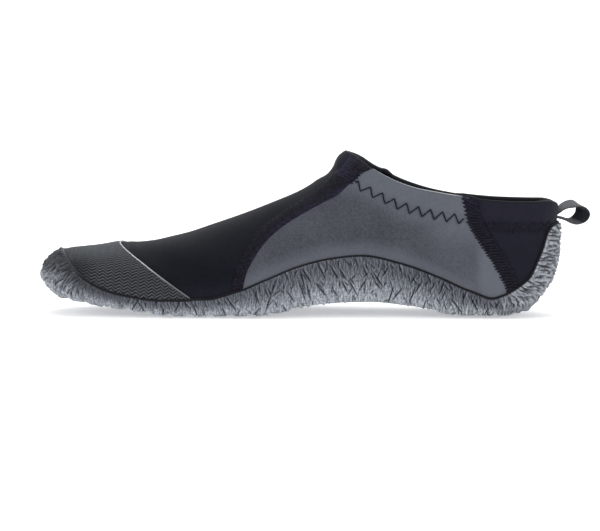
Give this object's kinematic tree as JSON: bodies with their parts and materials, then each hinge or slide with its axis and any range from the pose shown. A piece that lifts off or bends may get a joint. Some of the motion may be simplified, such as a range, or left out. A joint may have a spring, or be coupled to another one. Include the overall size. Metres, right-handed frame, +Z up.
{
  "type": "wetsuit bootie",
  "caption": "Low-cut wetsuit bootie: neoprene sock upper with a scooped collar, knurled toe cap and heel pull loop on a moulded rubber cup sole that wraps toe, arch and heel.",
  "frame": {"origin": "middle of the bounding box's footprint, on the floor that the sole stands on", "axes": "+X from toe to heel, -Y the medial side, +Z up"},
  "size_m": [0.2962, 0.0986, 0.0872],
  "materials": {
    "rubber_grey": "moulded bark-like relief, satin",
    "neoprene_black": "knit-faced foam sheet, matte",
    "foam_footbed": "knit-faced foam, matte",
    "rubber_toe_cap": "knurled sheet, satin",
    "seam_thread_black": "overlock stitching, matte",
    "webbing_grey": "woven tape, matte"
  },
  "bodies": {
    "root": {"outsole": "rubber_grey", "upper": "neoprene_black", "insole": "foam_footbed", "toe_cap": "rubber_toe_cap", "front_seam_medial": "seam_thread_black", "front_seam_lateral": "seam_thread_black", "heel_seam_medial": "seam_thread_black", "heel_seam_lateral": "seam_thread_black", "pull_loop": "webbing_grey"}
  },
  "joints": []
}
